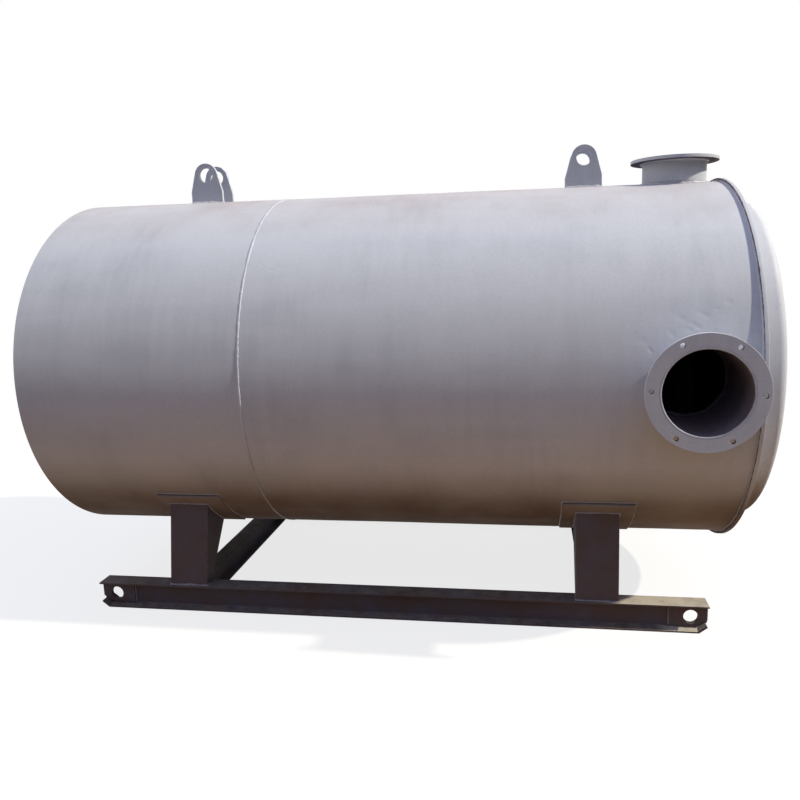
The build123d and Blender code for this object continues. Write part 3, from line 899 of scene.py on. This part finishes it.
class TANK_OT_nozzles(bpy.types.Operator):
    """Dress both nozzles and weld them to the shell and their flanges"""

    bl_idname = "tank.nozzles"
    bl_label = "Nozzles"

    def execute(self, context):
        size, edges = sizes("tank_welds").fillet_width, sizes("tank_edges")
        # Rim and bore edges of a flange keep the paint; the necks' walls are thin, so beads sit outside them
        lip, bead_stand = 6 * MM, 3.5 * MM
        front = Vector((0, -1, 0))
        paths = []
        for name, along in (("side", front), ("top", Vector((0, 0, 1)))):
            neck, flange = f"{name}_nozzle_neck", f"{name}_nozzle_flange"
            low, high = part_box(neck)
            middle = (low + high) / 2
            radius = (high.x - low.x) / 2
            flange_low, flange_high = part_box(flange)
            rim = (flange_high.x - flange_low.x) / 2

            def from_axis(centre):
                arm = centre - middle
                return arm - along * arm.dot(along)

            def neck_finish(centre, normal):
                arm = from_axis(centre)
                return normal.dot(arm) < -0.9 * arm.length

            def flange_finish(centre, normal):
                # Painted shade: the top flange's downward faces take the dark undercoat
                if normal.z < -0.8 and along.z:
                    return 2
                in_holes = radius + lip < from_axis(centre).length < rim - lip
                return in_holes and abs(normal.dot(along)) < 0.5

            # The necks' insides take the dark undercoat as painted shade, and the bolt holes' walls the dark
            # bare finish, partly painted shade
            dressed_copy(neck, edges.pipe, ALUMINIUM, SILVER, neck_finish, (UNDERCOAT,))
            dressed_copy(flange, edges.plate, ALUMINIUM, SILVER, flange_finish, (BARE, UNDERCOAT))
            back = flange_high.y if name == "side" else flange_low.z
            outside = radius + bead_stand
            paths += [self.saddle(middle, outside, along), self.collar(middle, outside, along, back)]
        weld("nozzle_welds", paths, size, seed=21.0, wander=1.2, uneven=0.5)
        middle = (neck_low + neck_high) / 2
        inner = min(
            sqrt((v.co.x - middle.x) ** 2 + (v.co.z - middle.z) ** 2)
            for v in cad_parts["side_nozzle_neck"].data.vertices
        )
        ledge = self.collar(middle, inner, front, neck_high.y - 2 * MM)
        mouth = self.collar(middle, inner, front, neck_low.y + 2.8 * MM)
        # The ledge bead deep in the side neck takes the dark undercoat as painted shade
        weld(
            "side_nozzle_inner_bead", [ledge], 15 * MM, seed=23.0, wander=5.0, rise=6 * MM, uneven=1.4,
            finish=UNDERCOAT,
        )
        weld("side_nozzle_mouth_bead", [mouth], 2.8 * MM, seed=24.0, wander=0.6, rise=0.8 * MM)
        return {"FINISHED"}

    def spokes(self, along, count=120):
        """Ways out from a nozzle's axis, all round it."""
        across = Vector((1, 0, 0))
        turns = [tau * i / count for i in range(count)]
        return [across * cos(turn) + along.cross(across) * sin(turn) for turn in turns]

    def saddle(self, middle, radius, along):
        """Where a neck leaves the shell."""
        places, outs = [], []
        for out in self.spokes(along):
            sideways = out * radius
            drop = sideways.length_squared - sideways.x**2
            rise = sqrt(SHELL_RADIUS**2 - drop)
            places.append(Vector((middle.x, AXIS_Y, AXIS_Z)) + sideways + along * rise)
            outs.append(out + along)
        return places, outs, True

    def collar(self, middle, radius, along, level):
        """Round a neck at a level along it, the bead's way up leaning back along the neck."""
        start = Vector((middle.x, level, AXIS_Z)) if along.y else Vector((middle.x, AXIS_Y, level))
        outs = self.spokes(along)
        return [start + out * radius for out in outs], [out - along for out in outs], True


class TANK_OT_lugs(bpy.types.Operator):
    """Dress the lifting lugs and weld their feet to the shell"""

    bl_idname = "tank.lugs"
    bl_label = "Lifting lugs"

    def execute(self, context):
        size, edges = sizes("tank_welds").fillet_width, sizes("tank_edges")
        paths = []
        for side, face in product(SIDES, FACES):
            node = f"lifting_lug_{side}_{face}"
            dressed_copy(node, edges.plate, ALUMINIUM, SILVER)
            corners = box_corners(*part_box(node))
            paths.append(rim_path(corners, seat_height(SHELL_RADIUS, 1), seat_lean(1)))
        weld("lug_welds", paths, size, seed=31.0, wander=2.0)
        return {"FINISHED"}


class TANK_OT_saddles(bpy.types.Operator):
    """Dress the legs and their wear pads, and weld them up"""

    bl_idname = "tank.saddles"
    bl_label = "Legs and wear pads"

    def execute(self, context):
        size, edges = sizes("tank_welds").fine_width, sizes("tank_edges")
        seat = SHELL_RADIUS + 8 * MM
        pads, tops, feet = [], [], []
        for side, face in product(SIDES, FACES):
            pad, leg = f"wear_pad_{side}_{face}", f"leg_{side}_{face}"
            dressed_copy(pad, edges.plate, ALUMINIUM, SILVER)
            dressed_copy(leg, edges.leg, CHARCOAL, DARK)
            corners = box_corners(*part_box(pad))
            pads.append(rim_path(corners, seat_height(SHELL_RADIUS, -1), seat_lean(-1), 24))
            places = [v.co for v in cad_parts[leg].data.vertices]
            floor = min(p.z for p in places)
            foot = [p for p in places if p.z < floor + 0.1 * MM]
            head = [
                p for p in places
                if abs(sqrt((p.y - AXIS_Y) ** 2 + (p.z - AXIS_Z) ** 2) - seat) < 1.0 * MM
            ]
            tops.append(rim_path(self.corners(head), seat_height(seat, -1), seat_lean(-1), 16))
            feet.append(rim_path(self.corners(foot), lambda y: floor, lambda y: Vector((0, 0, 1)), 16))
        weld("pad_welds", pads, size, seed=41.0, wander=1.2)
        weld("leg_top_welds", tops, size, seed=43.0, wander=1.5, slot=DARK)
        weld("leg_foot_welds", feet, 1.3 * size, seed=44.0, wander=4.0, rise=size / 2, uneven=1.6, slot=DARK)
        return {"FINISHED"}

    def corners(self, places):
        """Corners of a leg's end, from the front left one."""
        low_y, high_y = min(p.y for p in places), max(p.y for p in places)
        front = [p.x for p in places if p.y < low_y + 0.5 * MM]
        back = [p.x for p in places if p.y > high_y - 0.5 * MM]
        return [(min(front), low_y), (max(front), low_y), (max(back), high_y), (min(back), high_y)]


class TANK_OT_skid(bpy.types.Operator):
    """Dress the skid's beams and doublers and weld them up"""

    bl_idname = "tank.skid"
    bl_label = "Skid"

    def execute(self, context):
        size, edges = sizes("tank_welds").fine_width, sizes("tank_edges")
        paths = []
        for face in FACES:
            dressed_copy(f"skid_beam_{face}", edges.rolled, CHARCOAL, DARK)
            for side in SIDES:
                node = f"end_doubler_{face}_{side}"
                dressed_copy(node, edges.plate, CHARCOAL, DARK)
                paths += self.doubler_paths(node, face, side)
        for side in SIDES:
            node = f"cross_beam_{side}"
            dressed_copy(node, edges.rolled, CHARCOAL, DARK)
            paths += self.cross_paths(node)
        weld("skid_welds", paths, size, seed=51.0, wander=1.2, slot=DARK)
        return {"FINISHED"}

    def doubler_paths(self, node, face, side):
        """Fillets along a doubler's upper, inner and lower edges, on the web and clear of the toe."""
        end_gap, toe = 6 * MM, 46 * MM
        low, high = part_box(node)
        up = Vector((0, 0, 1))
        out = Vector((0, -1 if face == "front" else 1, 0))
        y = high.y if face == "front" else low.y
        inner, outer = (high.x, low.x) if side == "left" else (low.x, high.x)
        away = Vector((1 if side == "left" else -1, 0, 0))
        top_in, low_in = Vector((inner, y, high.z)), Vector((inner, y, low.z))
        return [
            straight(Vector((outer, y, high.z)) + away * end_gap, top_in, out + up),
            straight(top_in, low_in, out + away),
            straight(low_in, Vector((outer + away.x * toe, y, low.z)), out - up),
        ]

    def cross_paths(self, node):
        """Upright fillets where a cross beam's web meets the skid beams' webs."""
        half_web, flange = 2.5 * MM, 20 * MM
        low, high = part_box(node)
        made = []
        for y, inwards in ((low.y, 1), (high.y, -1)):
            for turn in (-1, 1):
                x = (low.x + high.x) / 2 + turn * half_web
                foot, head = Vector((x, y, low.z + flange)), Vector((x, y, high.z - flange))
                made.append(straight(foot, head, (turn, inwards, 0)))
        return made


class TANK_OT_stage(bpy.types.Operator):
    """Set up the camera, the floor, the lamps and the dome"""

    bl_idname = "tank.stage"
    bl_label = "Stage"

    def execute(self, context):
        stage = sizes("tank_stage")
        scene = context.scene
        scene.view_settings.view_transform = "Standard"
        front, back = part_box("skid_beam_front"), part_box("skid_beam_back")
        middle = Vector(((front[0].x + front[1].x) / 2, (front[0].y + back[1].y) / 2, 0.0))
        self.camera(scene, stage, middle)
        centre = middle + Vector((0.0, 0.0, AXIS_Z))
        self.lamp(centre, "key_lamp", stage.key_from, stage.key, stage.sun, stage.key_spread)
        self.lamp(centre, "fill_lamp", stage.fill_from, stage.fill, stage.sun, stage.fill_spread)
        self.floor(stage)
        self.world(scene, stage)
        return {"FINISHED"}

    def camera(self, scene, stage, middle):
        right = Vector((cos(stage.yaw), sin(stage.yaw), 0.0))
        flat = cos(stage.pitch)
        ahead = Vector((-sin(stage.yaw) * flat, cos(stage.yaw) * flat, sin(stage.pitch)))
        up = right.cross(ahead)
        across = right * cos(stage.roll) + up * sin(stage.roll)
        upright = up * cos(stage.roll) - right * sin(stage.roll)
        lens = bpy.data.cameras.new("photo_camera")
        lens.sensor_width = 36.0
        lens.lens = stage.lens
        lens.shift_x, lens.shift_y = stage.shift
        lens.clip_end = 200.0
        camera = link_object("photo_camera", lens)
        turn = Matrix((across, upright, -ahead)).transposed().to_4x4()
        camera.matrix_world = Matrix.Translation(middle + Vector(stage.eye)) @ turn
        scene.camera = camera

    def lamp(self, centre, name, source, energy, tint, spread):
        """One far lamp, softened by how wide it looks."""
        distance = 8.0
        light = bpy.data.lights.new(name, "SUN")
        light.energy = energy
        light.color = tint
        light.angle = spread
        lamp = link_object(name, light)
        way = Vector(source)
        lamp.location = centre + way * distance
        lamp.rotation_euler = (-way).to_track_quat("-Z", "Y").to_euler()

    def seen(self, add):
        """One where a ray comes from the camera, a reflection or through glass."""
        path = add("ShaderNodeLightPath").outputs
        direct = add(MATH, (path["Is Camera Ray"], path["Is Glossy Ray"]), operation="MAXIMUM")
        return add(MATH, (direct, path["Is Transmission Ray"]), operation="MAXIMUM")

    def floor(self, stage):
        """Pale floor: white to the eye, keeping the tank's soft shadow, and earth-coloured in what it
        throws back."""
        half = 40.0
        corners = [(-half, -half, 0), (half, -half, 0), (half, half, 0), (-half, half, 0)]
        mesh = bpy.data.meshes.new("pale_floor")
        mesh.from_pydata(corners, [], [(0, 1, 2, 3)])
        material, add, place = new_material("matt_pale_floor")
        away = add(VECTOR_MATH, (place,), operation="LENGTH")
        glowing = add(RANGE, (away, 2.0, 5.0, 0.78, 1.0), interpolation_type="SMOOTHSTEP")
        pale = add("ShaderNodeBsdfDiffuse", {"Color": (0.9, 0.9, 0.9, 1.0)})
        glow = add("ShaderNodeEmission", {"Color": WHITE, "Strength": 1.0})
        white = add("ShaderNodeMixShader", (glowing, pale, glow))
        far = add(RANGE, (away, 1.6, 4.2))
        soil = coats(add, stage, "ground", (far, "far_ground"))
        earth = add("ShaderNodeBsdfDiffuse", {"Color": soil})
        both = add("ShaderNodeMixShader", (self.seen(add), earth, white))
        add("ShaderNodeOutputMaterial", {"Surface": both})
        mesh.materials.append(material)
        link_object("pale_floor", mesh)

    def world(self, scene, stage):
        """White to the eye, and in the light it gives a cool dome, bright overhead and dark at the horizon."""
        world = bpy.data.worlds.new("white_studio")
        scene.world = world
        world.use_nodes = True
        world.node_tree.nodes.clear()
        add = partial(add_node, world.node_tree)
        way = add("ShaderNodeTexCoord").outputs["Generated"]
        rise = add(AXES, (way,)).outputs["Z"]
        strength = add(RANGE, (rise, 0.0, 1.0, 0.0, stage.dome))
        soft = add("ShaderNodeBackground", {"Color": stage.sky, "Strength": strength})
        white = add("ShaderNodeBackground", {"Color": WHITE, "Strength": 1.0})
        mixed = add("ShaderNodeMixShader", (self.seen(add), soft, white))
        add("ShaderNodeOutputWorld", {"Surface": mixed})


OPERATORS = (
    TANK_OT_shell,
    TANK_OT_girth_weld,
    TANK_OT_ends,
    TANK_OT_nozzles,
    TANK_OT_lugs,
    TANK_OT_saddles,
    TANK_OT_skid,
    TANK_OT_stage,
)


class TANK_PT_sidebar(bpy.types.Panel):
    bl_idname = "TANK_PT_sidebar"
    bl_label = "Horizontal tank"
    bl_space_type = "VIEW_3D"
    bl_region_type = "UI"
    bl_category = "Tank"

    def draw(self, context):
        for operator in OPERATORS:
            self.layout.operator(operator.bl_idname)
        for group in GROUPS:
            box = self.layout.box()
            box.label(text=group.replace("_", " "))
            held = getattr(context.scene, group)
            for key in held.__annotations__:
                box.prop(held, key)


def register():
    for group, kind in GROUPS.items():
        bpy.utils.register_class(kind)
        setattr(bpy.types.Scene, group, PointerProperty(type=kind))
    for kind in (*OPERATORS, TANK_PT_sidebar):
        bpy.utils.register_class(kind)


def unregister():
    for kind in (TANK_PT_sidebar, *reversed(OPERATORS)):
        bpy.utils.unregister_class(kind)
    for group, kind in GROUPS.items():
        delattr(bpy.types.Scene, group)
        bpy.utils.unregister_class(kind)


def main():
    register()
    bpy.ops.tank.shell()
    bpy.ops.tank.girth_weld()
    bpy.ops.tank.ends()
    bpy.ops.tank.nozzles()
    bpy.ops.tank.lugs()
    bpy.ops.tank.saddles()
    bpy.ops.tank.skid()
    bpy.ops.tank.stage()


if __name__ == "__main__":
    main()
